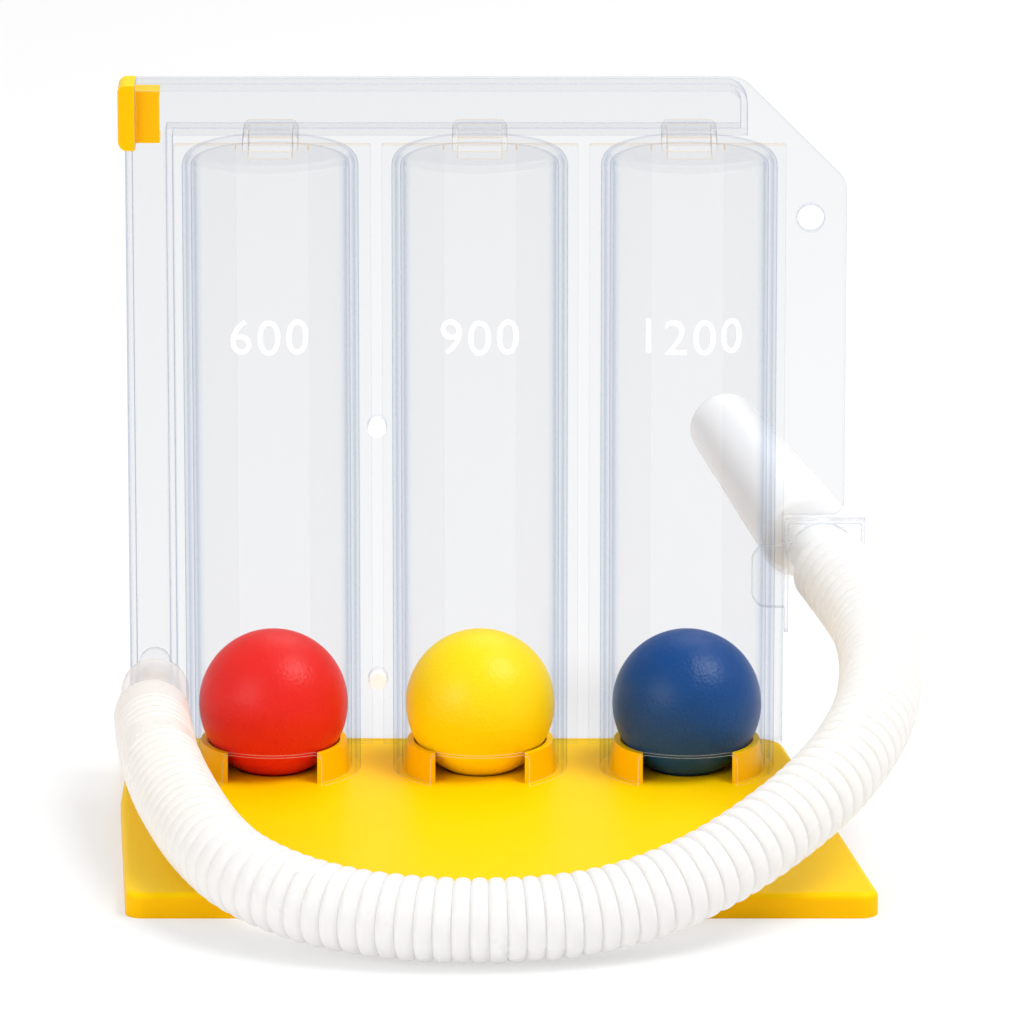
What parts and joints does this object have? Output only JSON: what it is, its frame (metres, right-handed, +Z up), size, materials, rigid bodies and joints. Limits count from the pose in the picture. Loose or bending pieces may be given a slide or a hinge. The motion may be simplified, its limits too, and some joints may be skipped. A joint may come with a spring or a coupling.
{
  "type": "incentive spirometer",
  "caption": "Breathing exerciser with balls in clear columns on a moulded base, a corrugated hose, a clip and a pull-off mouthpiece.",
  "frame": {"origin": "under the middle column's axis, at the level the base stands on", "axes": "+X to the right seen from the front, +Y to the back, +Z up"},
  "size_m": [0.1473, 0.181, 0.1306],
  "materials": {
    "yellow_plastic": "glossy moulded",
    "clear_plastic": "clear, polished",
    "hose_plastic": "soft, translucent",
    "white_plastic": "smooth",
    "red_ball_plastic": "fine grain",
    "yellow_ball_plastic": "fine grain",
    "blue_ball_plastic": "fine grain"
  },
  "bodies": {
    "spirometer": {"base": "yellow_plastic", "left_column": "clear_plastic", "middle_column": "clear_plastic", "right_column": "clear_plastic", "air_channel": "clear_plastic", "back_plate": "clear_plastic", "corner_cap": "yellow_plastic", "locating_pins": "clear_plastic", "hose_connector": "clear_plastic", "lower_cuff": "hose_plastic", "hose": "hose_plastic", "upper_cuff": "hose_plastic", "mouthpiece_holder": "clear_plastic"},
    "mouthpiece": {"mouthpiece": "white_plastic"},
    "red_ball": {"red_ball": "red_ball_plastic"},
    "yellow_ball": {"yellow_ball": "yellow_ball_plastic"},
    "blue_ball": {"blue_ball": "blue_ball_plastic"}
  },
  "joints": [
    {"name": "red_ball_rise", "type": "slide", "parent": "spirometer", "child": "red_ball", "axis": [0, 0, 1], "range_m": [0, 0.088]},
    {"name": "yellow_ball_rise", "type": "slide", "parent": "spirometer", "child": "yellow_ball", "axis": [0, 0, 1], "range_m": [0, 0.088]},
    {"name": "blue_ball_rise", "type": "slide", "parent": "spirometer", "child": "blue_ball", "axis": [0, 0, 1], "range_m": [0, 0.088]},
    {"name": "mouthpiece_pull", "type": "slide", "parent": "spirometer", "child": "mouthpiece", "axis": [-0.3204, 0.9202, 0.2249], "range_m": [0, 0.03]}
  ]
}
